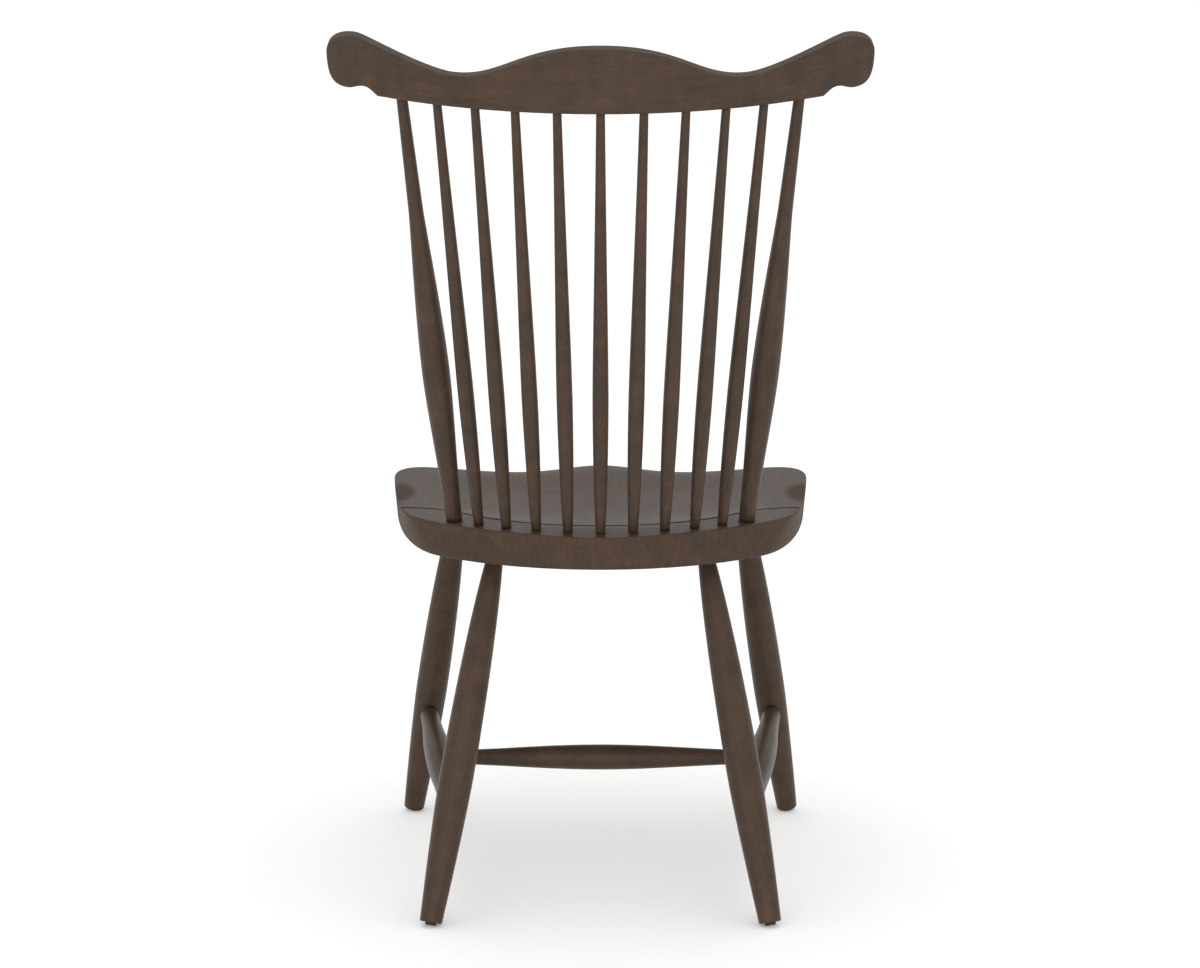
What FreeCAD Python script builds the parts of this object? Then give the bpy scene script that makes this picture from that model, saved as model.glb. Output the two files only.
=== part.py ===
import FreeCAD, Part
import math
import os
import Sketcher

# Comb-back side chair of turned and carved wood, about 610 wide, 596 deep and 1033 high.
# Frame: millimetres, +Z up, +Y to the rear of the chair, +X to the left hand of a sitter.
# The origin is on the floor, under the middle of the whole chair's box.

os.makedirs("parts", exist_ok=True)
doc = FreeCAD.newDocument("comb_back_chair")
V = FreeCAD.Vector

# Driving dimensions

DIMENSIONS = {
    # where the seat is
    "seat_height": 457,
    "seat_thick": 42,
    "seat_rear": 161,
    # plan of the seat, measured from the middle of its rear edge
    "seat_rear_radius": 279,
    "seat_side_width": 266,
    "seat_side_reach": 381,
    "seat_front_width": 223,
    "seat_front_reach": 458,
    "seat_pommel_reach": 460,
    "seat_rim_radius": 2.5,
    "seat_under_set_in": 6,
    "seat_under_radius": 7,
    # how round the plan is at its top and at its underside
    "seat_top_angle": 54.7,
    "seat_top_lean": 9.4,
    "seat_top_shoulder_hold": 30.5,
    "seat_top_flank_hold": 115.4,
    "seat_top_corner_hold": 42,
    "seat_under_angle": 43.4,
    "seat_under_lean": 5,
    "seat_under_shoulder_hold": 56,
    "seat_under_flank_hold": 141,
    "seat_under_corner_hold": 28,
    # hollow of the seat
    "bowl_width": 232,
    "bowl_dip": 11,
    "bowl_at": 260,
    "thigh_dip": 8.2,
    "pommel_rise": 2.7,
    "front_roll": 2,
    "front_roll_length": 30,
    # gutter cut along the front of the spindles
    "gutter_radius": 210.6,
    "gutter_set_in": 59,
    "gutter_angle": 52,
    "gutter_end_set_in": 171,
    "gutter_width": 6.5,
    "gutter_depth": 3.6,
    # bow of spindles and posts
    "row_set_in": 21,
    "row_angle": 8.43,
    "crest_row_angle": 5.94,
    "crest_row_narrowing": 0.05,
    # comb at the top of the back
    "crest_height": 948.2,
    "crest_overhang": 110.8,
    "crest_tilt": 13.7,
    "crest_bend": 460,
    "crest_thick": 19,
    "crest_edge_radius": 2,
    "crest_rise": 72.3,
    "valley_width": 160,
    "valley_rise": 34.9,
    "ear_width": 305.2,
    "ear_rise": 39.5,
    "ear_crown_set_in": 34.6,
    "ear_crown_rise": 63.1,
    "lobe_set_in": 22,
    "lobe_rise": 2.9,
    "cove_set_in": 43.3,
    "cove_rise": 8.3,
    "corner_set_in": 58.8,
    # turned spindles
    "spindle_top_radius": 4.95,
    "spindle_belly_radius": 9.3,
    "spindle_base_radius": 5.8,
    "spindle_belly_at": 170,
    # turned back posts
    "post_top_radius": 6.25,
    "post_neck_radius": 8.45,
    "post_belly_radius": 16.15,
    "post_base_radius": 9.5,
    "post_belly_at": 193.5,
    "post_neck_below_top": 134,
    # turned legs
    "leg_top_radius": 9.8,
    "leg_belly_radius": 20.1,
    "leg_foot_radius": 13.2,
    "leg_foot_easing": 1.5,
    "rear_leg_belly_at": 174,
    "front_leg_belly_at": 181,
    "rear_leg_seat_width": 125,
    "rear_leg_seat_set_in": 104,
    "rear_foot_width": 198.4,
    "rear_foot_kick": 44,
    "front_leg_seat_width": 182.3,
    "front_leg_seat_set_in": 343,
    "front_foot_width": 247.8,
    "front_foot_set_in": 419,
    # turned stretchers
    "stretcher_tenon_radius": 7.9,
    "side_stretcher_belly_radius": 16.9,
    "side_stretcher_end_radius": 12,
    "centre_stretcher_belly_radius": 15.6,
    "centre_stretcher_end_radius": 8.8,
    "front_joint_height": 142.8,
    "rear_joint_height": 128.6,
    # glides under the feet
    "glide_radius": 6.5,
    "glide_thick": 3,
    "glide_easing": 0.6,
    "glide_levelling": 0.6,
    "nail_radius": 1.2,
    "nail_length": 16,
    "nail_point_radius": 0.3,
    "nail_point_length": 2.5,
    "nail_head_radius": 2.6,
    "nail_head_thick": 1,
    "nail_head_sink": 0.6,
    # joinery
    "glue_gap": 0.15,
    "nail_gap": 0.05,
    "leg_run_out": 5,
    "tenon_end_gap": 0.5,
    "spindle_run_out": 2,
    "leg_tenon": 24,
    "spindle_seat_tenon": 22,
    "spindle_crest_tenon": 18,
    "post_seat_tenon": 26,
    "post_crest_tenon": 15,
    "side_stretcher_tenon": 24,
    "centre_stretcher_tenon": 15,
}

# Places in the bow of the back: spindles from -4 to 4 with a post outside each end
POST_STEP = 5

# How full each turned curve is: its hold at the belly, its hold at the end, its rise at the end
LEG_UPPER = (0.46, 0.16, 0.495)
LEG_LOWER = (0.193, 0.342, 0.495)
SIDE_STRETCHER = (0.48, 0.5, 0.02)
CENTRE_STRETCHER = (0.38, 0.33, 0.13)
SPINDLE_UPPER = (0.15, 0.5, 0.4)
SPINDLE_LOWER = (0.33, 0.33, 0.67)
POST_UPPER = (0.352, 0.2, 0.2)
POST_LOWER = (0.257, 0.362, 0.162)


class Size:
    """A number that also carries the sheet formula which it was worked out from."""

    def __init__(self, value, formula=None):
        self.value = float(value)
        self.formula = formula if formula is not None else repr(float(value))

    def __add__(self, other):
        other = as_size(other)
        return Size(self.value + other.value, f"({self.formula} + {other.formula})")

    def __radd__(self, other):
        return as_size(other) + self

    def __sub__(self, other):
        other = as_size(other)
        return Size(self.value - other.value, f"({self.formula} - {other.formula})")

    def __rsub__(self, other):
        return as_size(other) - self

    def __mul__(self, other):
        other = as_size(other)
        return Size(self.value * other.value, f"({self.formula} * {other.formula})")

    def __rmul__(self, other):
        return as_size(other) * self

    def __truediv__(self, other):
        other = as_size(other)
        return Size(self.value / other.value, f"({self.formula} / {other.formula})")

    def __neg__(self):
        return Size(-self.value, f"(-1 * {self.formula})")


def as_size(number):
    return number if isinstance(number, Size) else Size(number)


def sine(angle):
    return Size(math.sin(math.radians(angle.value)), f"sin({angle.formula} * 1deg)")


def cosine(angle):
    return Size(math.cos(math.radians(angle.value)), f"cos({angle.formula} * 1deg)")


def blend(start, end, share):
    return start + (end - start) * share


def make_sheet():
    sheet = doc.addObject("Spreadsheet::Sheet", "sizes")
    for row, (name, value) in enumerate(DIMENSIONS.items(), start=1):
        sheet.set(f"A{row}", name)
        sheet.set(f"B{row}", str(value))
        sheet.setAlias(f"B{row}", name)
    doc.recompute()
    return sheet


sheet = make_sheet()
lengths = doc.addObject("Spreadsheet::Sheet", "worked_out")


def dim(name):
    return Size(sheet.get(name), f"sizes.{name}")


def work_out(name, value):
    """Keep a length that follows from the driving dimensions in a sheet of its own."""
    row = sum(1 for cell in lengths.getUsedCells() if cell.startswith("A")) + 1
    lengths.set(f"A{row}", name)
    lengths.set(f"B{row}", repr(value))
    lengths.setAlias(f"B{row}", name)
    return Size(value, f"worked_out.{name}")


# Sketch helpers


def origin_plane(body, role):
    return next(feature for feature in body.Origin.OriginFeatures if feature.Role == role)


def new_sketch(body, name, role, offset=None):
    """A sketch on one of the body's own planes, or set off from it along its normal."""
    sketch = body.newObject("Sketcher::SketchObject", name)
    sketch.AttachmentSupport = [(origin_plane(body, role), "")]
    sketch.MapMode = "FlatFace"
    if offset is not None:
        sketch.setExpression(".AttachmentOffset.Base.z", offset.formula)
    return sketch


def bind(sketch, kind, geometry, point, size):
    """Fix one coordinate of a sketch point, measured from the sketch's origin."""
    constraint = Sketcher.Constraint(kind, -1, 1, geometry, point, size.value)
    index = sketch.addConstraint(constraint)
    sketch.setExpression(f"Constraints[{index}]", size.formula)


def bind_point(sketch, geometry, point, place):
    bind(sketch, "DistanceX", geometry, point, as_size(place[0]))
    bind(sketch, "DistanceY", geometry, point, as_size(place[1]))


def vector(place):
    return V(as_size(place[0]).value, as_size(place[1]).value, 0)


def add_curve(sketch, poles):
    """A smooth cubic curve whose poles are all placed from the sheet."""
    curve = Part.BSplineCurve()
    spans = len(poles) - 3
    knots = list(range(spans + 1))
    multiplicities = [4] + [1] * (spans - 1) + [4]
    curve.buildFromPolesMultsKnots([vector(pole) for pole in poles], multiplicities, knots, False, 3)
    index = sketch.addGeometry(curve, False)
    first_pole = sketch.GeometryCount
    sketch.exposeInternalGeometry(index)
    for number, pole in enumerate(poles):
        bind_point(sketch, first_pole + number, 3, pole)
    return index


def add_arc(sketch, centre, start, end):
    """An arc that runs the short way between two points, whichever comes first."""
    middle, first, last = vector(centre), vector(start), vector(end)
    if (first - middle).cross(last - middle).z < 0:
        first, last, start, end = last, first, end, start
    angles = [math.atan2(point.y - middle.y, point.x - middle.x) for point in (first, last)]
    circle = Part.Circle(middle, V(0, 0, 1), (first - middle).Length)
    index = sketch.addGeometry(Part.ArcOfCircle(circle, *angles), False)
    bind_point(sketch, index, 1, start)
    bind_point(sketch, index, 3, centre)
    bind(sketch, "DistanceX", index, 2, as_size(end[0]))
    return index


def add_line(sketch, start, end):
    index = sketch.addGeometry(Part.LineSegment(vector(start), vector(end)), False)
    bind_point(sketch, index, 1, start)
    bind_point(sketch, index, 2, end)
    return index


def add_chain(sketch, points):
    for start, end in zip(points, points[1:]):
        add_line(sketch, start, end)


# Bodies, and the round holes in them


def new_body(name, placement):
    body = doc.addObject("PartDesign::Body", name)
    body.Label = name
    body.Placement = placement
    return body


def along(start, end):
    """Placement whose local Z axis runs from start to end."""
    return FreeCAD.Placement(start, FreeCAD.Rotation(V(0, 0, 1), end - start))


def socket(body, name, mouth, inward, radius, depth):
    """A round blind hole; mouth and inward are given in the frame of the chair."""
    cut = body.newObject("PartDesign::SubtractiveCylinder", name)
    lead_in = 2 * radius
    start = mouth - inward * lead_in.value
    in_chair = FreeCAD.Placement(start, FreeCAD.Rotation(V(0, 0, 1), inward))
    cut.Placement = body.Placement.inverse().multiply(in_chair)
    cut.Angle = 360
    cut.setExpression("Radius", radius.formula)
    cut.setExpression("Height", (depth + lead_in).formula)


def joint_socket(body, name, mouth, inward, tenon_radius, tenon_length):
    """The hole for a round tenon, with room for glue."""
    radius = tenon_radius + dim("glue_gap")
    socket(body, name, mouth, inward, radius, tenon_length + dim("tenon_end_gap"))


def round_edges(body, name, radius, wanted):
    """Round those edges of the body that the function called wanted picks out."""
    base = body.Tip
    names = [f"Edge{number}" for number, edge in enumerate(base.Shape.Edges, 1) if wanted(base.Shape, edge)]
    rounding = body.newObject("PartDesign::Fillet", name)
    rounding.Base = (base, names)
    rounding.setExpression("Radius", radius.formula)
    doc.recompute()


# Turned pieces: a half profile turned round the local Z axis


def swelling(end_at, end_radius, belly_at, belly_radius, fullness):
    """Poles from one end of a turning to its belly, where the profile is level."""
    belly_hold, end_hold, end_share = fullness
    length = belly_at - end_at
    return [
        (end_radius, end_at),
        (blend(end_radius, belly_radius, end_share), end_at + length * end_hold),
        (belly_radius, belly_at - length * belly_hold),
        (belly_radius, belly_at),
    ]


def turned_body(name, line, outline):
    """Turn a list of lines and curves, given from the start of the line to its end."""
    body = new_body(name, along(*line))
    sketch = new_sketch(body, name + "_profile", "XZ_Plane")
    first, last = outline[0][0], outline[-1][-1]
    for poles in outline:
        if len(poles) == 2:
            add_line(sketch, *poles)
        else:
            add_curve(sketch, poles)
    add_chain(sketch, [last, (0, last[1]), (0, first[1]), first])
    turning = body.newObject("PartDesign::Revolution", name + "_turning")
    turning.Profile = sketch
    turning.ReferenceAxis = (sketch, ["V_Axis"])
    turning.Angle = 360
    return body


# Places of the joints, in the frame of the chair

under_seat = dim("seat_height") - dim("seat_thick")
rear = dim("seat_rear")


def middle(line):
    return (line[0] + line[1]) * 0.5


def direction(line):
    return (line[1] - line[0]).normalize()


def line_length(name, line):
    return work_out(name + "_length", (line[1] - line[0]).Length)


def on_seat(width, set_in, height):
    return V(width.value, (rear - set_in).value, height.value)


def seat_row_point(step):
    angle = dim("row_angle") * step
    radius = dim("seat_rear_radius") - dim("row_set_in")
    set_in = dim("seat_rear_radius") - radius * cosine(angle)
    return on_seat(radius * sine(angle), set_in, dim("seat_height"))


crest_frame = FreeCAD.Placement(
    V(0, (rear + dim("crest_overhang")).value, dim("crest_height").value),
    FreeCAD.Rotation(V(1, 0, 0), -dim("crest_tilt").value),
)


def crest_row_point(step):
    """The steps along the crest rail grow a little shorter towards its ends."""
    angle = (dim("crest_row_angle") - dim("crest_row_narrowing") * abs(step)) * step
    bend = dim("crest_bend")
    across = bend * sine(angle)
    forward = bend - bend * cosine(angle)
    return crest_frame.multVec(V(across.value, -forward.value, 0))


def leg_line(end, side):
    """Foot centre and the point where the leg's axis meets the underside of the seat."""
    if end == "rear":
        foot_set_in = -dim("rear_foot_kick")
    else:
        foot_set_in = dim("front_foot_set_in")
    top = on_seat(side * dim(f"{end}_leg_seat_width"), dim(f"{end}_leg_seat_set_in"), under_seat)
    foot = on_seat(side * dim(f"{end}_foot_width"), foot_set_in, Size(0))
    upright = direction((foot, top)).z
    rim = dim("glide_radius") - dim("glide_easing")
    lift = dim("glide_thick").value * upright + rim.value * math.sqrt(1 - upright**2)
    return foot + V(0, 0, lift - dim("glide_levelling").value), top


def back_line(step):
    """Axis of a spindle or post, from the top of the seat to the lower edge of the crest rail."""
    return seat_row_point(step), crest_row_point(step)


def at_height(line, height):
    start, end = line
    share = (height.value - start.z) / (end.z - start.z)
    return start + (end - start) * share


SIDES = {"left": 1, "right": -1}
LEG_LINES = {(end, side): leg_line(end, SIDES[side]) for end in ("front", "rear") for side in SIDES}


def side_stretcher_line(side):
    front = at_height(LEG_LINES["front", side], dim("front_joint_height"))
    back = at_height(LEG_LINES["rear", side], dim("rear_joint_height"))
    return front, back


# Seat: a thick plank, undercut at its rear corners, with a carved saddle and a gutter

PLANK_OVERRUN = 4
CARVING_ROOM = 12

# Places across the front edge, as shares of its half width, that hold the curve to the pommel
FRONT_HOLDS = (0.68, 0.28)

# Places across the hollow, as shares of its half width, and how deep the carving is at two of them
BOWL_PLACES = (0.82, 0.58, 0.36, 0.17)
SHOULDER_DEPTH, RIDGE_DEPTH = 0.45, 0.55

# How the hollow opens: share of the way to its deepest place, of its width, its dip and its middle's dip
FLAT_WIDTH = 0.4
OPENING = [(0.2, 0.5, 0.28, 0.34), (0.38, 0.68, 0.6, 0.66), (0.62, 0.9, 0.88, 0.88)]
BOWL_MIDDLE = 0.82
HALF_WAY = (0.5, 0.35, 0.3)


def seat_plan(sketch, face, set_in):
    """Outline of the top or of the underside, which is the same on both sides of its middle."""
    angle, lean = (dim(f"seat_{face}_{name}") for name in ("angle", "lean"))
    shoulder_hold, flank_hold, corner_hold = (
        dim(f"seat_{face}_{name}_hold") for name in ("shoulder", "flank", "corner")
    )
    rear_radius, side_width = dim("seat_rear_radius"), dim("seat_side_width") - set_in
    front_width, side_reach = dim("seat_front_width"), dim("seat_side_reach")
    front_reach, pommel_reach = dim("seat_front_reach") - set_in, dim("seat_pommel_reach") - set_in
    start = (rear_radius * sine(angle), rear_radius * cosine(angle) - rear_radius)
    shoulder = (start[0] + shoulder_hold * cosine(angle), start[1] - shoulder_hold * sine(angle))
    flank = (side_width - lean, flank_hold - side_reach)
    side = (side_width, -side_reach)
    past_side = (side_width + lean * corner_hold / flank_hold, -side_reach - corner_hold)
    before_front = (front_width + corner_hold, -front_reach)
    front = (front_width, -front_reach)
    past_front = (front_width * FRONT_HOLDS[0], -front_reach)
    before_nose = (front_width * FRONT_HOLDS[1], -pommel_reach)
    nose = (Size(0), -pommel_reach)
    curves = [
        [start, shoulder, flank, side],
        [side, past_side, before_front, front],
        [front, past_front, before_nose, nose],
    ]
    add_arc(sketch, (Size(0), -rear_radius), start, (-start[0], start[1]))
    for poles in curves:
        add_curve(sketch, poles)
    for poles in reversed(curves):
        add_curve(sketch, [(-x, y) for x, y in reversed(poles)])


def seat_blank(body):
    under = new_sketch(body, "seat_under_plan", "XY_Plane")
    seat_plan(under, "under", dim("seat_under_set_in"))
    top = new_sketch(body, "seat_top_plan", "XY_Plane", offset=dim("seat_thick") + PLANK_OVERRUN)
    seat_plan(top, "top", Size(0))
    blank = body.newObject("PartDesign::AdditiveLoft", "seat_blank")
    blank.Profile = under
    blank.Sections = [top]
    blank.Ruled = True


def saddle_section(body, number, set_in, width, dip, middle_dip):
    """One cross section of all that is carved off the top of the seat."""
    sketch = new_sketch(body, f"saddle_section_{number}", "XZ_Plane", offset=set_in)
    top, side = dim("seat_thick"), dim("seat_side_width")
    edge = side + 5 * CARVING_ROOM
    shoulder, outer, inner, ridge = BOWL_PLACES
    half = [
        (edge, top),
        (side + CARVING_ROOM, top),
        (width, top),
        (width * shoulder, top - dip * SHOULDER_DEPTH),
        (width * outer, top - dip),
        (width * inner, top - dip),
        (width * ridge, top - blend(dip, middle_dip, RIDGE_DEPTH)),
    ]
    poles = half + [(Size(0), top - middle_dip)] + [(-x, y) for x, y in reversed(half)]
    add_curve(sketch, poles)
    roof = top + CARVING_ROOM
    add_chain(sketch, [(-edge, top), (-edge, roof), (edge, roof), (edge, top)])
    return sketch


def carve_saddle(body):
    """Flat behind the gutter, a bowl in the middle, and two thigh hollows with a pommel in front."""
    bowl_at, width = dim("bowl_at"), dim("bowl_width")
    bowl, thigh, rise = dim("bowl_dip"), dim("thigh_dip"), dim("pommel_rise")
    roll, roll_length = dim("front_roll"), dim("front_roll_length")
    start, front = dim("gutter_set_in"), dim("seat_front_reach")
    behind, flat = Size(-2 * CARVING_ROOM), Size(0)
    stations = [(place, width * FLAT_WIDTH, flat, flat) for place in (behind, start / 2, start)]
    for way, width_share, dip_share, middle_share in OPENING:
        place = blend(start, bowl_at, way)
        stations.append((place, width * width_share, bowl * dip_share, bowl * middle_share))
    way, thigh_share, middle_share = HALF_WAY
    stations += [
        (bowl_at, width, bowl, bowl * BOWL_MIDDLE),
        (blend(bowl_at, front, way), width, blend(bowl, thigh, thigh_share), bowl * middle_share),
        (front - roll_length, width, thigh - roll, -rise),
        (front, width, thigh, -rise),
        (front + roll_length, width, thigh + roll * 3, roll - rise),
    ]
    sections = [saddle_section(body, number, *station) for number, station in enumerate(stations)]
    carving = body.newObject("PartDesign::SubtractiveLoft", "seat_saddle")
    carving.Profile = sections[0]
    carving.Sections = sections[1:]


def cut_gutter(body):
    """A narrow V along the front of the spindles, which runs out through both side edges."""
    top = dim("seat_thick")
    radius, angle = dim("gutter_radius"), dim("gutter_angle")
    end_set_in = dim("gutter_end_set_in")
    centre = (Size(0), -dim("gutter_set_in") - radius)
    turn = (radius * sine(angle), centre[1] + radius * cosine(angle))
    end_radius = (turn[1] + end_set_in) / (1 - cosine(angle))
    end_centre = (turn[0] + end_radius * sine(angle), end_radius - end_set_in)
    level = (end_centre[0], -end_set_in)
    past_edge = dim("seat_side_width") + CARVING_ROOM
    path = new_sketch(body, "gutter_path", "XY_Plane", offset=top)
    add_line(path, (past_edge, -end_set_in), level)
    add_arc(path, end_centre, turn, level)
    add_arc(path, centre, turn, (-turn[0], turn[1]))
    add_arc(path, (-end_centre[0], end_centre[1]), (-level[0], level[1]), (-turn[0], turn[1]))
    add_line(path, (-level[0], level[1]), (-past_edge, -end_set_in))
    section = new_sketch(body, "gutter_section", "YZ_Plane", offset=past_edge)
    depth = dim("gutter_depth")
    half_roof = dim("gutter_width") / 2 * (depth + CARVING_ROOM) / depth
    roof = top + CARVING_ROOM
    corners = [(half_roof - end_set_in, roof), (-half_roof - end_set_in, roof), (-end_set_in, top - depth)]
    add_chain(section, corners + corners[:1])
    gutter = body.newObject("PartDesign::SubtractivePipe", "seat_gutter")
    gutter.Profile = section
    gutter.Spine = path


def is_under_edge(shape, edge):
    return edge.BoundBox.ZMax < 0.01


def is_rim_edge(shape, edge):
    """True for an edge where the side of the seat meets its top."""
    half_thick = dim("seat_thick").value / 2
    boxes = [face.BoundBox for face in shape.ancestorsOfType(edge, Part.Face)]
    sides = [box for box in boxes if box.ZMin < half_thick < box.ZMax]
    return edge.BoundBox.ZMin > half_thick and len(sides) == 1


def make_seat():
    body = new_body("seat", FreeCAD.Placement(V(0, rear.value, under_seat.value), FreeCAD.Rotation()))
    seat_blank(body)
    carve_saddle(body)
    doc.recompute()
    round_edges(body, "seat_under_edge", dim("seat_under_radius"), is_under_edge)
    round_edges(body, "seat_rim", dim("seat_rim_radius"), is_rim_edge)
    cut_gutter(body)
    for (end, side), line in LEG_LINES.items():
        name = f"{end}_leg_{side}_socket"
        joint_socket(body, name, line[1], direction(line), dim("leg_top_radius"), dim("leg_tenon"))
    for step in range(-POST_STEP, POST_STEP + 1):
        kind = "post" if abs(step) == POST_STEP else "spindle"
        line = back_line(step)
        name = f"seat_{kind}_socket_{step + POST_STEP}"
        radius, length = dim(f"{kind}_base_radius"), dim(f"{kind}_seat_tenon")
        joint_socket(body, name, line[0], -direction(line), radius, length)
    return body


# Crest rail: a bent board, sawn to a serpentine with a round ear at each end

SAW_ROOM = 12

# How long each curve of the outline holds its first and its last direction, as shares of its own run
CROWN_HOLDS = (0.544, 0.343)
EAR_RISE_HOLDS = (0.257, 0.12)
EAR_OVER_HOLDS = (0.556, 0.524)
EAR_UNDER_HOLDS = (0.78, 0.708)
LOBE_HOLDS = (0.42, 0.345)
COVE_HOLDS = (0.41, 0.34)
CORNER_DROP = 0.47


def level_curve(start, end, holds):
    """A curve that is level at both ends."""
    near = (blend(start[0], end[0], holds[0]), start[1])
    far = (blend(end[0], start[0], holds[1]), end[1])
    return [start, near, far, end]


def quarter_curve(start, end, holds):
    """A curve that starts upright and ends level."""
    near = (start[0], blend(start[1], end[1], holds[0]))
    far = (blend(end[0], start[0], holds[1]), end[1])
    return [start, near, far, end]


def crest_outline():
    """The curves from the middle of the top edge round the ear to the lower corner."""
    crown = (Size(0), dim("crest_rise"))
    valley = (dim("valley_width"), dim("valley_rise"))
    ear_side = (dim("ear_width"), dim("ear_rise"))
    ear_top = (ear_side[0] - dim("ear_crown_set_in"), dim("ear_crown_rise"))
    lobe = (ear_side[0] - dim("lobe_set_in"), dim("lobe_rise"))
    cove = (ear_side[0] - dim("cove_set_in"), dim("cove_rise"))
    corner = (ear_side[0] - dim("corner_set_in"), Size(0))
    past_cove = (blend(cove[0], corner[0], COVE_HOLDS[0]), cove[1])
    before_corner = (blend(corner[0], cove[0], COVE_HOLDS[1]), cove[1] * CORNER_DROP)
    return [
        level_curve(crown, valley, CROWN_HOLDS),
        level_curve(valley, ear_top, EAR_RISE_HOLDS),
        quarter_curve(ear_side, ear_top, EAR_OVER_HOLDS)[::-1],
        quarter_curve(ear_side, lobe, EAR_UNDER_HOLDS),
        level_curve(lobe, cove, LOBE_HOLDS),
        [cove, past_cove, before_corner, corner],
    ]


def bend_crest_board(body):
    """A board bent to an arc, a little taller and longer than the finished rail."""
    bend, half_thick = dim("crest_bend"), dim("crest_thick") / 2
    reach = (dim("ear_width") + SAW_ROOM) / (bend - half_thick)
    angle = work_out("crest_half_angle", math.degrees(math.asin(reach.value)))
    sketch = new_sketch(body, "crest_bend_plan", "XY_Plane", offset=Size(-SAW_ROOM))
    centre = (Size(0), -bend)
    ends = []
    for radius in (bend + half_thick, bend - half_thick):
        end = (radius * sine(angle), radius * cosine(angle) - bend)
        add_arc(sketch, centre, end, (-end[0], end[1]))
        ends.append(end)
    add_line(sketch, *ends)
    add_line(sketch, *[(-x, y) for x, y in ends])
    board = body.newObject("PartDesign::Pad", "crest_board")
    board.Profile = sketch
    board.setExpression("Length", (dim("crest_rise") + 2 * SAW_ROOM).formula)


def saw_crest_outline(body):
    """Cut square through the board from behind it."""
    sketch = new_sketch(body, "crest_outline", "XZ_Plane", offset=Size(-SAW_ROOM) - dim("crest_thick") / 2)
    curves = crest_outline()
    for poles in curves:
        add_curve(sketch, poles)
        add_curve(sketch, [(-x, z) for x, z in poles])
    corner = curves[-1][-1]
    add_line(sketch, corner, (-corner[0], corner[1]))
    width = dim("ear_width") + 4 * SAW_ROOM
    top, low = dim("crest_rise") + 2 * SAW_ROOM, Size(-2 * SAW_ROOM)
    add_chain(sketch, [(-width, low), (width, low), (width, top), (-width, top), (-width, low)])
    waste = body.newObject("PartDesign::Pocket", "crest_waste")
    waste.Profile = sketch
    waste.Type = "ThroughAll"
    waste.Reversed = True


def is_crest_face_edge(shape, edge):
    """True for an edge on the bent front or rear face of the rail."""
    faces = shape.ancestorsOfType(edge, Part.Face)
    return any(isinstance(face.Surface, Part.Cylinder) for face in faces)


def make_crest_rail():
    body = new_body("crest_rail", crest_frame)
    bend_crest_board(body)
    saw_crest_outline(body)
    doc.recompute()
    round_edges(body, "crest_eased_edges", dim("crest_edge_radius"), is_crest_face_edge)
    for step in range(-POST_STEP, POST_STEP + 1):
        kind = "post" if abs(step) == POST_STEP else "spindle"
        line = back_line(step)
        name = f"crest_{kind}_socket_{step + POST_STEP}"
        radius, length = dim(f"{kind}_top_radius"), dim(f"{kind}_crest_tenon")
        joint_socket(body, name, line[1], direction(line), radius, length)
    return body


# Turned spindles and back posts, with a tenon at each end


def make_spindle(number):
    name = f"spindle_{number}"
    line = back_line(number - POST_STEP)
    length = line_length(name, line)
    base, belly, top = (dim(f"spindle_{part}_radius") for part in ("base", "belly", "top"))
    belly_at, run_out = dim("spindle_belly_at"), dim("spindle_run_out")
    upper = swelling(length - run_out, top, belly_at, belly, SPINDLE_UPPER)
    outline = [
        [(base, -dim("spindle_seat_tenon")), (base, run_out)],
        swelling(run_out, base, belly_at, belly, SPINDLE_LOWER),
        upper[::-1],
        [upper[0], (top, length + dim("spindle_crest_tenon"))],
    ]
    return turned_body(name, line, outline)


def make_back_post(side):
    name = f"back_post_{side}"
    line = back_line(SIDES[side] * POST_STEP)
    length = line_length(name, line)
    base, belly, neck, top = (dim(f"post_{part}_radius") for part in ("base", "belly", "neck", "top"))
    belly_at, run_out = dim("post_belly_at"), dim("spindle_run_out")
    upper = swelling(length - dim("post_neck_below_top"), neck, belly_at, belly, POST_UPPER)
    outline = [
        [(base, -dim("post_seat_tenon")), (base, run_out)],
        swelling(run_out, base, belly_at, belly, POST_LOWER),
        upper[::-1],
        [upper[0], (top, length - run_out)],
        [(top, length - run_out), (top, length + dim("post_crest_tenon"))],
    ]
    return turned_body(name, line, outline)


# Turned legs and the H of stretchers between them

SHOULDER_HOLD = 0.6


def make_leg(end, side):
    name = f"leg_{end}_{side}"
    line = LEG_LINES[end, side]
    length = line_length(name, line)
    foot, belly, top = (dim(f"leg_{part}_radius") for part in ("foot", "belly", "top"))
    belly_at, easing = dim(f"{end}_leg_belly_at"), dim("leg_foot_easing")
    upper = swelling(length - dim("leg_run_out"), top, belly_at, belly, LEG_UPPER)
    outline = [
        [(foot - easing, Size(0)), (foot, easing)],
        swelling(easing, foot, belly_at, belly, LEG_LOWER),
        upper[::-1],
        [upper[0], (top, length + dim("leg_tenon"))],
    ]
    body = turned_body(name, line, outline)
    stretcher = side_stretcher_line(side)
    joint, along_stretcher = stretcher[0], direction(stretcher)
    if end == "rear":
        joint, along_stretcher = stretcher[1], -along_stretcher
    mouth = joint + along_stretcher * belly.value
    radius, tenon = dim("stretcher_tenon_radius"), dim("side_stretcher_tenon")
    joint_socket(body, name + "_stretcher_socket", mouth, -along_stretcher, radius, tenon)
    in_glide = dim("glide_thick") - dim("nail_head_sink") - dim("nail_head_thick")
    depth = dim("nail_length") - in_glide + dim("tenon_end_gap")
    socket(body, name + "_nail_hole", line[0], direction(line), nail_hole_radius(), depth)
    return body


def shoulder(at, tenon_radius, end_radius):
    """Poles of the rounded step from a tenon up to the end of a turning."""
    step = end_radius - tenon_radius
    return [
        (tenon_radius, at),
        (blend(tenon_radius, end_radius, SHOULDER_HOLD), at),
        (end_radius, at + step * (1 - SHOULDER_HOLD)),
        (end_radius, at + step),
    ]


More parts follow.
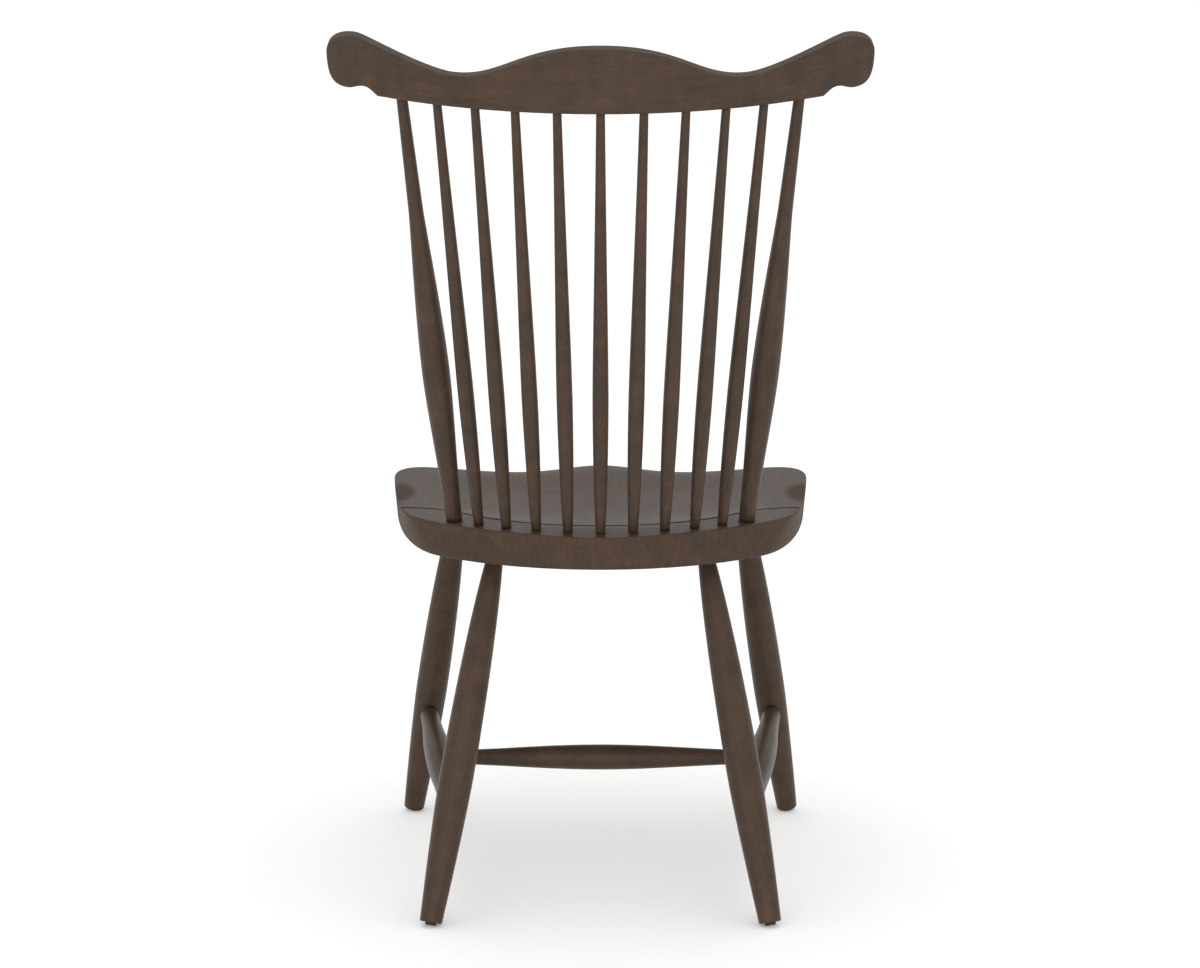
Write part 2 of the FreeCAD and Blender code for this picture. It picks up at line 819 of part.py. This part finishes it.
def make_stretcher(name, kind, line, carrier_radius, fullness):
    """A turned stretcher between two carriers, whose axes the line runs between."""
    length = line_length(name, line)
    end, belly, tenon = dim(f"{kind}_end_radius"), dim(f"{kind}_belly_radius"), dim("stretcher_tenon_radius")
    start_at = carrier_radius - dim(f"{kind}_tenon")
    lower_step = shoulder(carrier_radius, tenon, end)
    upper_step = [(radius, length - at) for radius, at in lower_step]
    lower = swelling(lower_step[-1][1], end, length / 2, belly, fullness)
    upper = swelling(upper_step[-1][1], end, length / 2, belly, fullness)
    outline = [
        [(tenon, start_at), lower_step[0]],
        lower_step,
        lower,
        upper[::-1],
        upper_step[::-1],
        [upper_step[0], (tenon, length - start_at)],
    ]
    return turned_body(name, line, outline)


def make_side_stretcher(side):
    name = f"side_stretcher_{side}"
    line = side_stretcher_line(side)
    body = make_stretcher(name, "side_stretcher", line, dim("leg_belly_radius"), SIDE_STRETCHER)
    inward = V(SIDES[side], 0, 0)
    mouth = middle(line) - inward * dim("side_stretcher_belly_radius").value
    radius, tenon = dim("stretcher_tenon_radius"), dim("centre_stretcher_tenon")
    joint_socket(body, name + "_socket", mouth, inward, radius, tenon)
    return body


def make_centre_stretcher():
    name = "centre_stretcher"
    line = middle(side_stretcher_line("right")), middle(side_stretcher_line("left"))
    return make_stretcher(name, name, line, dim("side_stretcher_belly_radius"), CENTRE_STRETCHER)


# Nail-on glides: a plastic disc square to each leg, trimmed level where it meets the floor


def nail_hole_radius():
    return dim("nail_radius") + dim("nail_gap")


def make_glide(end, side):
    name = f"glide_{end}_{side}"
    foot, top = LEG_LINES[end, side]
    down = direction((top, foot))
    radius, thick, easing = dim("glide_radius"), dim("glide_thick"), dim("glide_easing")
    outline = [
        [(radius, Size(0)), (radius, thick - easing)],
        [(radius, thick - easing), (radius - easing, thick)],
    ]
    body = turned_body(name, (foot, foot + down), outline)
    face = foot + down * thick.value
    head_radius = dim("nail_head_radius") + dim("nail_gap")
    head_depth = dim("nail_head_sink") + dim("nail_head_thick")
    socket(body, name + "_nail_hole", face, -down, nail_hole_radius(), thick * 2)
    socket(body, name + "_nail_recess", face, -down, head_radius, head_depth)
    floor = body.newObject("PartDesign::SubtractiveBox", name + "_levelling")
    reach = 4 * radius
    corner = V(foot.x - reach.value / 2, foot.y - reach.value / 2, -reach.value)
    floor.Placement = body.Placement.inverse().multiply(FreeCAD.Placement(corner, FreeCAD.Rotation()))
    for extent in ("Length", "Width", "Height"):
        floor.setExpression(extent, reach.formula)
    return body


def make_glide_nail(end, side):
    name = f"glide_nail_{end}_{side}"
    foot, top = LEG_LINES[end, side]
    up = direction((foot, top))
    start = foot - up * (dim("glide_thick") - dim("nail_head_sink")).value
    head, shank = dim("nail_head_radius"), dim("nail_radius")
    thick, length = dim("nail_head_thick"), dim("nail_head_thick") + dim("nail_length")
    point_at = length - dim("nail_point_length")
    outline = [
        [(head, Size(0)), (head, thick)],
        [(head, thick), (shank, thick)],
        [(shank, thick), (shank, point_at)],
        [(shank, point_at), (dim("nail_point_radius"), length)],
    ]
    return turned_body(name, (start, start + up), outline)


# The whole chair

pieces = [make_seat(), make_crest_rail(), make_centre_stretcher()]
pieces += [make_spindle(number) for number in range(1, 2 * POST_STEP)]
for side in SIDES:
    pieces += [make_back_post(side), make_side_stretcher(side)]
    for end in ("front", "rear"):
        pieces += [make_leg(end, side), make_glide(end, side), make_glide_nail(end, side)]
doc.recompute()

failed = [obj.Name for obj in doc.Objects if {"Invalid", "Error"} & set(obj.State)]
if failed:
    raise RuntimeError("these objects failed to build: " + ", ".join(failed))
for piece in pieces:
    if piece.Shape.isNull() or not piece.Shape.isValid() or len(piece.Shape.Solids) != 1:
        raise RuntimeError(piece.Label + " is not one valid solid")
for piece in pieces:
    piece.Shape.exportStep(f"parts/{piece.Label}.step")
print(len(pieces), "pieces written")
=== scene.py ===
"""Looks for a comb-back side chair in dark stained wood: its finishes, the floor, the lamps and the camera.

Everything is in metres in the chair's own frame: +Z up, +Y towards its rear, origin on the floor.
"""
import math

import bpy
import numpy as np
from mathutils import Matrix, Vector

# Camera
LENS = 85
SENSOR = 36
CAMERA_PLACE = (0.0006, 3.368, 1.112)
CAMERA_DIP = math.radians(10.5)

# Floor and sky
WHITE = (1, 1, 1)
FLOOR_COLOUR = (0.92, 0.92, 0.91)
FLOOR_RADIUS = 150
FLOOR_CORNERS = 96
FLOOR_GLOW = 0.195
SKY_FRONT = 0.54
SKY_REAR = 1.2
SKY_TOP = 1.05
SKY_TURNS = (0.46, 0.95)
HORIZON = 1.0
HORIZON_TURNS = (0.02, 0.12)

# Lamps
LAMP_TARGET = (0, 0, 0.55)
REAR_LAMP_PLACE = (0, 4.2, 0.35)
REAR_LAMP_SIZE = (6.0, 0.6)
REAR_LAMP_POWER = 35
FRONT_LAMP_PLACE = (0, -2.2, 4.4)
FRONT_LAMP_SIZE = (3.0, 3.0)
FRONT_LAMP_POWER = 8

# The bent back rail: the foot and tilt of its middle plane, and the radius of its bend
CREST_FOOT = (0, 0.2718, 0.9482)
CREST_TILT = math.radians(13.7)
CREST_BEND = 0.460

# Stain colours
BROWN = (0.0602, 0.0373, 0.0234)
RED_BROWN = (0.072, 0.0405, 0.0255)
OLIVE_BROWN = (0.052, 0.0345, 0.0232)
GOLD_BROWN = (0.073, 0.046, 0.0270)
PORE_BROWN = (0.030, 0.019, 0.012)
# Painted shade: the near-black colour put into the seat's gutter
GUTTER_PAINTED_SHADE = (0.003, 0.002, 0.0015)

# Painted shade that darkens the stain in corners and grooves: the share of light left, how far it reaches,
# and how open the place still is
PAINTED_SHADE_SHARE = 0.3
PAINTED_SHADE_REACH = 0.006
PAINTED_SHADE_TURNS = (0.3, 0.85)
OPENNESS_SAMPLES = 6

# Lacquer
STAIN_SPECULAR = 0.20
STAIN_ROUGHNESS = 0.40
ROUGHNESS_SPREAD = 0.03
GRAIN_BUMP = 0.06
BUMP_DEPTH = 0.0001

# Grain: sizes across the grain. A squeeze below 1 draws a pattern out, to its size divided by the squeeze.
LINE_SIZE = 0.0018
LINE_SQUEEZE = 0.035
PORE_SIZE = 0.0006
PORE_SQUEEZE = 0.07
FLAT_SQUEEZE = 0.12
LINE_TURNS = (0.32, 0.68)
PORE_TURNS = (0.58, 0.72)
LINE_HEIGHT = 0.4
PORE_SHARE = 0.35

# Growth rings. At a scale of 1 the wave texture runs through 20 radians in a metre.
WAVE_RADIANS = 20
RING_SQUEEZE = 0.12
RING_WAVER = 7.0
RING_WAVER_SIZE = 0.002
RING_TONE = 0.04
RING_SPACING = 0.003
SEAT_RING_SPACING = 0.004
CREST_RING_SPACING = 0.0035

# Blotches, mottle and curl, and how much lighter or darker each makes the stain
NOISE_SPAN = (0.3, 0.7)
BLOTCH_SIZE = 0.024
SEAT_BLOTCH_SIZE = 0.026
BLOTCH_SQUEEZE = 0.45
RED_TURNS = (0.5, 0.7)
OLIVE_TURNS = (0.5, 0.3)
MOTTLE_PER_BLOTCH = 3.5
MOTTLE_SQUEEZE = 0.6
MOTTLE_TONE = 0.06
GOLD_TURNS = (0.55, 0.8)
GOLD_SHARE = 0.7
CURL_PER_BLOTCH = 0.8
CURL_SQUEEZE = 0.35
CURL_TONE = 0.10
SEAT_CURL_TONE = 0.04
LINE_TONE = 0.08
SEAT_LINE_TONE = 0.15

# Where each piece was cut: its shift in the noise, and where its pith lies
SEED_STEP = (0.37, 0.59, 0.83)
SEAT_SEED = 3.3
CREST_SEED = 7.1
SEAT_PITH = (0.9, 0, 0)
CREST_PITH = (0.08, 0.05, 0)
TURNED_PITH = 0.075
TURNED_PITH_STEP = 2.4
TURNED_PIECES = ("spindle", "back", "leg")

# Duller parts, by how far up a face looks: 1 is level, 0 is upright
WALL_TURNS = (0.8, 0.5)
WALL_DULLNESS = 0.25
CREST_TOP_TURNS = (0.3, 0.6)
CREST_TOP_DULLNESS = 0.12

# The gutter: its walls slope, and its inside is slightly shut in. There its colour is painted shade, near
# black, and it is duller.
GUTTER_LEVEL_TURNS = (0.93, 0.85)
GUTTER_STEEP_TURNS = (0.25, 0.4)
GUTTER_OPEN_TURNS = (0.99, 0.93)
GUTTER_DULLNESS = 0.5

# A duller place near each side of the seat
RUBBED_PLACE = (0.258, -0.108)
RUBBED_REACH = (0.032, 0.078)
RUBBED_TURNS = (1.0, 0.5)
RUBBED_DULLNESS = 0.35

# Glides and their nails
PLASTIC_DARK = (0.009, 0.008, 0.0075)
PLASTIC_PALE = (0.016, 0.014, 0.013)
PLASTIC_ROUGHNESS = (0.55, 0.7)
PLASTIC_BUMP = 0.15
SPECKLE_SIZE = 0.0006
STEEL_DARK = (0.42, 0.41, 0.40)
STEEL_PALE = (0.55, 0.54, 0.52)
STEEL_ROUGHNESS = (0.25, 0.4)
SCRATCH_SIZE = 0.0003
SCRATCH_SQUEEZE = 0.1


class Recipe:
    """A material being made: short ways to add nodes to its tree and join them."""

    def __init__(self, name, carrier=None):
        self.carrier = carrier or bpy.data.materials.new(name)
        self.carrier.use_nodes = True
        self.tree = self.carrier.node_tree
        self.tree.nodes.clear()

    def node(self, kind, inputs=None, **settings):
        made = self.tree.nodes.new("ShaderNode" + kind)
        for key, value in settings.items():
            setattr(made, key, value)
        for key, value in (inputs or {}).items():
            self.put(made.inputs[key], value)
        return made

    def put(self, socket, value):
        if isinstance(value, bpy.types.NodeSocket):
            self.tree.links.new(value, socket)
        elif hasattr(value, "__len__") and len(value) == 3 and socket.type == "RGBA":
            socket.default_value = (*value, 1)
        else:
            socket.default_value = value

    def calc(self, operation, a, b=0.0):
        return self.node("Math", {0: a, 1: b}, operation=operation).outputs[0]

    def spread(self, value, low, high, to_low=0.0, to_high=1.0, smooth=False):
        """Maps low..high to to_low..to_high and holds the ends."""
        kind = "SMOOTHSTEP" if smooth else "LINEAR"
        inputs = {
            "Value": value,
            "From Min": low,
            "From Max": high,
            "To Min": to_low,
            "To Max": to_high,
        }
        return self.node("MapRange", inputs, interpolation_type=kind).outputs["Result"]

    def mix(self, share, a, b, blend="MIX"):
        made = self.node("Mix", data_type="RGBA", blend_type=blend)
        sockets = [s for s in made.inputs if s.enabled]
        for socket, value in zip(sockets, (share, a, b)):
            self.put(socket, value)
        return next(s for s in made.outputs if s.enabled)

    def shaded(self, colour, level):
        """A colour times a grey level."""
        grey = self.node("CombineColor", {0: level, 1: level, 2: level}).outputs[0]
        return self.mix(1.0, colour, grey, "MULTIPLY")

    def noise(self, vector, size, detail=2.0, roughness=0.5):
        """Noise whose features are about size metres across."""
        inputs = {"Vector": vector, "Scale": 1 / size, "Detail": detail, "Roughness": roughness}
        return self.node("TexNoise", inputs).outputs["Fac"]

    def moved(self, vector, kind="POINT", **inputs):
        return self.node("Mapping", {"Vector": vector, **inputs}, vector_type=kind).outputs[0]

    def object_point(self):
        return self.node("TexCoord").outputs["Object"]

    def parts(self, vector):
        return self.node("SeparateXYZ", {0: vector}).outputs

    def length(self, x, y):
        flat = self.node("CombineXYZ", {0: x, 1: y}).outputs[0]
        return self.node("VectorMath", {0: flat}, operation="LENGTH").outputs["Value"]

    def finish(self, shader):
        kind = "OutputWorld" if isinstance(self.carrier, bpy.types.World) else "OutputMaterial"
        self.tree.links.new(shader, self.node(kind).inputs["Surface"])
        return self.carrier


def grain_lines(recipe, point, flat):
    """Fine lines and pores along the grain, which is the point's Z. Flat layers also run along its Y."""
    across = FLAT_SQUEEZE if flat else 1
    lines = recipe.noise(recipe.moved(point, Scale=(1, across, LINE_SQUEEZE)), LINE_SIZE, detail=3)
    pores = recipe.noise(recipe.moved(point, Scale=(1, across, PORE_SQUEEZE)), PORE_SIZE, detail=1)
    return recipe.spread(lines, *LINE_TURNS), recipe.spread(pores, *PORE_TURNS)


def growth_rings(recipe, point, pith, spacing):
    """Layers round a pith that lies off the piece, wavering slowly along the grain."""
    inputs = {
        "Vector": recipe.moved(point, Location=pith, Scale=(1, 1, RING_SQUEEZE)),
        "Scale": 2 * math.pi / (WAVE_RADIANS * spacing),
        "Distortion": RING_WAVER,
        "Detail": 1.5,
        "Detail Scale": RING_WAVER_SIZE / spacing,
        "Detail Roughness": 0.45,
    }
    wave = recipe.node("TexWave", inputs, wave_type="RINGS", rings_direction="Z", wave_profile="SAW")
    return wave.outputs["Fac"]


def open_share(recipe):
    """How little of the surroundings is close by: 1 out in the open, less in a corner or a groove."""
    inputs = {"Distance": PAINTED_SHADE_REACH}
    return recipe.node("AmbientOcclusion", inputs, samples=OPENNESS_SAMPLES).outputs["AO"]


def facing_up(recipe):
    """How far up a face looks, by its own flat normal, so that a narrow slope beside a level face counts."""
    return recipe.parts(recipe.node("NewGeometry").outputs["True Normal"])["Z"]


def stained(
    recipe,
    point,
    seed,
    pith,
    spacing=RING_SPACING,
    blotch_size=BLOTCH_SIZE,
    line_tone=LINE_TONE,
    curl_tone=CURL_TONE,
    flat=False,
):
    """Dark walnut stain under satin lacquer, grain along the point's Z, with painted shade in corners and
    grooves.
    """
    shifted = recipe.moved(point, Location=[seed * step for step in SEED_STEP])
    blotched = recipe.moved(shifted, Scale=(1, 1, BLOTCH_SQUEEZE))
    blotch = recipe.noise(blotched, blotch_size, detail=2)
    mottled = recipe.moved(shifted, Scale=(1, 1, MOTTLE_SQUEEZE))
    mottle = recipe.noise(mottled, blotch_size / MOTTLE_PER_BLOTCH, detail=3, roughness=0.6)
    curled = recipe.moved(shifted, Scale=(CURL_SQUEEZE, CURL_SQUEEZE, 1))
    curl = recipe.noise(curled, blotch_size * CURL_PER_BLOTCH, detail=1)
    lines, pores = grain_lines(recipe, shifted, flat)
    rings = growth_rings(recipe, point, pith, spacing)
    colour = recipe.mix(recipe.spread(blotch, *RED_TURNS), BROWN, RED_BROWN)
    colour = recipe.mix(recipe.spread(blotch, *OLIVE_TURNS), colour, OLIVE_BROWN)
    colour = recipe.mix(recipe.spread(mottle, *GOLD_TURNS, 0, GOLD_SHARE), colour, GOLD_BROWN)
    tone = recipe.calc("ADD", recipe.spread(mottle, *NOISE_SPAN, -MOTTLE_TONE, MOTTLE_TONE), 1.0)
    tone = recipe.calc("ADD", tone, recipe.spread(curl, *NOISE_SPAN, -curl_tone, curl_tone))
    tone = recipe.calc("ADD", tone, recipe.spread(lines, 0, 1, -line_tone, line_tone))
    tone = recipe.calc("ADD", tone, recipe.spread(rings, 0, 1, RING_TONE, -RING_TONE))
    colour = recipe.shaded(colour, tone)
    colour = recipe.mix(recipe.calc("MULTIPLY", pores, PORE_SHARE), colour, PORE_BROWN)
    height = recipe.calc("SUBTRACT", recipe.calc("MULTIPLY", lines, LINE_HEIGHT), pores)
    bump = recipe.node("Bump", {"Strength": GRAIN_BUMP, "Distance": BUMP_DEPTH, "Height": height})
    # Painted shade: the colour is darkened where the surface is shut in, in corners and grooves
    painted_shade = recipe.spread(open_share(recipe), *PAINTED_SHADE_TURNS, PAINTED_SHADE_SHARE, 1.0)
    smoothest, roughest = STAIN_ROUGHNESS - ROUGHNESS_SPREAD, STAIN_ROUGHNESS + ROUGHNESS_SPREAD
    inputs = {
        "Base Color": recipe.shaded(colour, painted_shade),
        "Roughness": recipe.spread(mottle, *NOISE_SPAN, smoothest, roughest),
        "Specular IOR Level": STAIN_SPECULAR,
        "Normal": bump.outputs[0],
    }
    return recipe.node("BsdfPrincipled", inputs)


def make_duller(recipe, shader, dullness):
    roughness = shader.inputs["Roughness"]
    recipe.put(roughness, recipe.calc("ADD", roughness.links[0].from_socket, dullness))


def long_axis(node):
    """Centre and turn of a turned piece, with Z along its axis."""
    points = np.array([v.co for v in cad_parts[node].data.vertices])
    centre = (points.max(axis=0) + points.min(axis=0)) / 2
    direction = Vector(np.linalg.eigh(np.cov(points.T))[1][:, -1])
    if direction.z < 0:
        direction.negate()
    return Vector(centre), direction.to_track_quat("Z", "Y")


def turned_wood(node, seed):
    """The grain runs along the piece, and the seed turns its pith to another side."""
    recipe = Recipe("stained_" + node)
    centre, turn = long_axis(node)
    point = recipe.moved(recipe.object_point(), "TEXTURE", Location=centre, Rotation=turn.to_euler())
    away = TURNED_PITH_STEP * seed
    pith = (TURNED_PITH * math.cos(away), TURNED_PITH * math.sin(away), 0)
    return recipe.finish(stained(recipe, point, seed, pith).outputs[0])


def gutter_share(recipe, up):
    """1 on the gutter's sloping walls where they are shut in, 0 on the deck and on the seat's outer walls; it
    places the gutter's painted shade and dullness.
    """
    below_level = recipe.spread(up, *GUTTER_LEVEL_TURNS)
    sloping = recipe.calc("MULTIPLY", below_level, recipe.spread(up, *GUTTER_STEEP_TURNS))
    return recipe.calc("MULTIPLY", sloping, recipe.spread(open_share(recipe), *GUTTER_OPEN_TURNS))


def rubbed_share(recipe):
    """1 in the middle of the duller place near each side, fading to 0 at its edge."""
    parts = recipe.parts(recipe.object_point())
    beside = recipe.calc("SUBTRACT", recipe.calc("ABSOLUTE", parts["X"]), RUBBED_PLACE[0])
    along = recipe.calc("SUBTRACT", parts["Y"], RUBBED_PLACE[1])
    beside = recipe.calc("DIVIDE", beside, RUBBED_REACH[0])
    along = recipe.calc("DIVIDE", along, RUBBED_REACH[1])
    return recipe.spread(recipe.length(beside, along), *RUBBED_TURNS, smooth=True)


def seat_wood():
    """The grain runs from front to back. The walls, the gutter and a place near each side are duller, and the
    gutter is painted dark as shade.
    """
    recipe = Recipe("stained_seat")
    along_y = recipe.moved(recipe.object_point(), "TEXTURE", Rotation=(math.radians(-90), 0, 0))
    shader = stained(
        recipe,
        along_y,
        SEAT_SEED,
        SEAT_PITH,
        spacing=SEAT_RING_SPACING,
        blotch_size=SEAT_BLOTCH_SIZE,
        line_tone=SEAT_LINE_TONE,
        curl_tone=SEAT_CURL_TONE,
        flat=True,
    )
    up = facing_up(recipe)
    gutter = gutter_share(recipe, up)
    dull = recipe.spread(up, *WALL_TURNS, 0, WALL_DULLNESS)
    dull = recipe.calc("MAXIMUM", dull, recipe.calc("MULTIPLY", gutter, GUTTER_DULLNESS))
    rubbed = recipe.calc("MULTIPLY", rubbed_share(recipe), RUBBED_DULLNESS)
    make_duller(recipe, shader, recipe.calc("MAXIMUM", dull, rubbed))
    # Painted shade: the gutter's walls are turned near black
    colour = shader.inputs["Base Color"]
    recipe.put(colour, recipe.mix(gutter, colour.links[0].from_socket, GUTTER_PAINTED_SHADE))
    return recipe.finish(shader.outputs[0])


def crest_wood():
    """The grain follows the bend. The point's axes run through the board, up it and along its arc."""
    recipe = Recipe("stained_crest")
    turn = Matrix.Rotation(-CREST_TILT, 3, "X")
    centre = Vector(CREST_FOOT) + turn @ Vector((0, -CREST_BEND, 0))
    flat = recipe.moved(recipe.object_point(), "TEXTURE", Location=centre, Rotation=turn.to_euler())
    parts = recipe.parts(flat)
    arc = recipe.calc("MULTIPLY", recipe.calc("ARCTAN2", parts[0], parts[1]), CREST_BEND)
    depth = recipe.length(parts[0], parts[1])
    point = recipe.node("CombineXYZ", {0: depth, 1: parts[2], 2: arc}).outputs[0]
    shader = stained(recipe, point, CREST_SEED, CREST_PITH, spacing=CREST_RING_SPACING)
    make_duller(recipe, shader, recipe.spread(facing_up(recipe), *CREST_TOP_TURNS, 0, CREST_TOP_DULLNESS))
    return recipe.finish(shader.outputs[0])


def glide_plastic():
    recipe = Recipe("moulded_glide")
    speckle = recipe.noise(recipe.object_point(), SPECKLE_SIZE, detail=2)
    bump = recipe.node("Bump", {"Strength": PLASTIC_BUMP, "Distance": BUMP_DEPTH, "Height": speckle})
    inputs = {
        "Base Color": recipe.mix(speckle, PLASTIC_DARK, PLASTIC_PALE),
        "Roughness": recipe.spread(speckle, *NOISE_SPAN, *PLASTIC_ROUGHNESS),
        "Normal": bump.outputs[0],
    }
    return recipe.finish(recipe.node("BsdfPrincipled", inputs).outputs[0])


def nail_steel():
    recipe = Recipe("drawn_steel")
    drawn = recipe.moved(recipe.object_point(), Scale=(1, 1, SCRATCH_SQUEEZE))
    scratches = recipe.noise(drawn, SCRATCH_SIZE, detail=2)
    inputs = {
        "Base Color": recipe.mix(scratches, STEEL_DARK, STEEL_PALE),
        "Metallic": 1.0,
        "Roughness": recipe.spread(scratches, *NOISE_SPAN, *STEEL_ROUGHNESS),
    }
    return recipe.finish(recipe.node("BsdfPrincipled", inputs).outputs[0])


def dress(node, material):
    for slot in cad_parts[node].material_slots:
        slot.material = material


def is_turned(node):
    return node.split("_")[0] in TURNED_PIECES or "stretcher" in node


def finish_pieces():
    plastic, steel = glide_plastic(), nail_steel()
    dress("seat", seat_wood())
    dress("crest_rail", crest_wood())
    turned = [node for node in sorted(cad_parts) if is_turned(node)]
    for number, node in enumerate(turned, start=1):
        dress(node, turned_wood(node, number))
    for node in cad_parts:
        if node.startswith("glide_nail"):
            dress(node, steel)
        elif node.startswith("glide"):
            dress(node, plastic)


def make_floor():
    """A pale floor. It glows for the camera and in reflections, so it reads as white and keeps the shadow."""
    bpy.ops.mesh.primitive_circle_add(vertices=FLOOR_CORNERS, radius=FLOOR_RADIUS, fill_type="NGON")
    floor = bpy.context.object
    floor.name = "floor"
    recipe = Recipe("pale_floor")
    rays = recipe.node("LightPath").outputs
    seen = recipe.calc("MAXIMUM", rays["Is Camera Ray"], rays["Is Glossy Ray"])
    seen = recipe.calc("MAXIMUM", seen, rays["Is Transmission Ray"])
    glow = recipe.calc("MULTIPLY", seen, FLOOR_GLOW)
    light = recipe.node("Emission", {"Color": WHITE, "Strength": glow})
    matt = recipe.node("BsdfDiffuse", {"Color": FLOOR_COLOUR})
    both = recipe.node("AddShader", {0: matt.outputs[0], 1: light.outputs[0]})
    floor.data.materials.append(recipe.finish(both.outputs[0]))


def make_sky():
    """A soft grey surround: bright overhead, at the horizon and behind the chair, dim low in front."""
    world = bpy.data.worlds.new("studio")
    world.use_nodes = True
    recipe = Recipe("studio", world)
    parts = recipe.parts(recipe.node("TexCoord").outputs["Generated"])
    low = recipe.spread(parts["Y"], -1, 1, SKY_FRONT, SKY_REAR)
    level = HORIZON
    for turns, above in ((HORIZON_TURNS, low), (SKY_TURNS, SKY_TOP)):
        height = recipe.spread(parts["Z"], *turns, smooth=True)
        level = recipe.node("Mix", {0: height, 2: level, 3: above}).outputs[0]
    sky = recipe.node("Background", {"Color": WHITE, "Strength": level})
    recipe.finish(sky.outputs[0])
    bpy.context.scene.world = world


def make_lamp(name, place, size, power):
    data = bpy.data.lights.new(name, "AREA")
    data.shape = "RECTANGLE"
    data.size, data.size_y = size
    data.energy = power
    lamp = bpy.data.objects.new(name, data)
    bpy.context.collection.objects.link(lamp)
    lamp.location = place
    towards = Vector(LAMP_TARGET) - Vector(place)
    lamp.rotation_euler = towards.to_track_quat("-Z", "Y").to_euler()


def make_camera():
    data = bpy.data.cameras.new("camera")
    data.lens = LENS
    data.sensor_width = SENSOR
    camera = bpy.data.objects.new("camera", data)
    bpy.context.collection.objects.link(camera)
    camera.location = CAMERA_PLACE
    camera.rotation_euler = (math.pi / 2 - CAMERA_DIP, 0, math.pi)
    bpy.context.scene.camera = camera


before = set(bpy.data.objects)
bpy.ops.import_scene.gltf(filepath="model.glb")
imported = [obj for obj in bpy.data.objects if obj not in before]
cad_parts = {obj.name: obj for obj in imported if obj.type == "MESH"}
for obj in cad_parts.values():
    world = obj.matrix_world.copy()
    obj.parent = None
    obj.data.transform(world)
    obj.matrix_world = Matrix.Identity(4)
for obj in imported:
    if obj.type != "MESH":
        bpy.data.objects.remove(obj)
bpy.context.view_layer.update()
bpy.context.scene.view_settings.view_transform = "Standard"
finish_pieces()
make_floor()
make_sky()
make_lamp("rear_softbox", REAR_LAMP_PLACE, REAR_LAMP_SIZE, REAR_LAMP_POWER)
make_lamp("front_softbox", FRONT_LAMP_PLACE, FRONT_LAMP_SIZE, FRONT_LAMP_POWER)
make_camera()
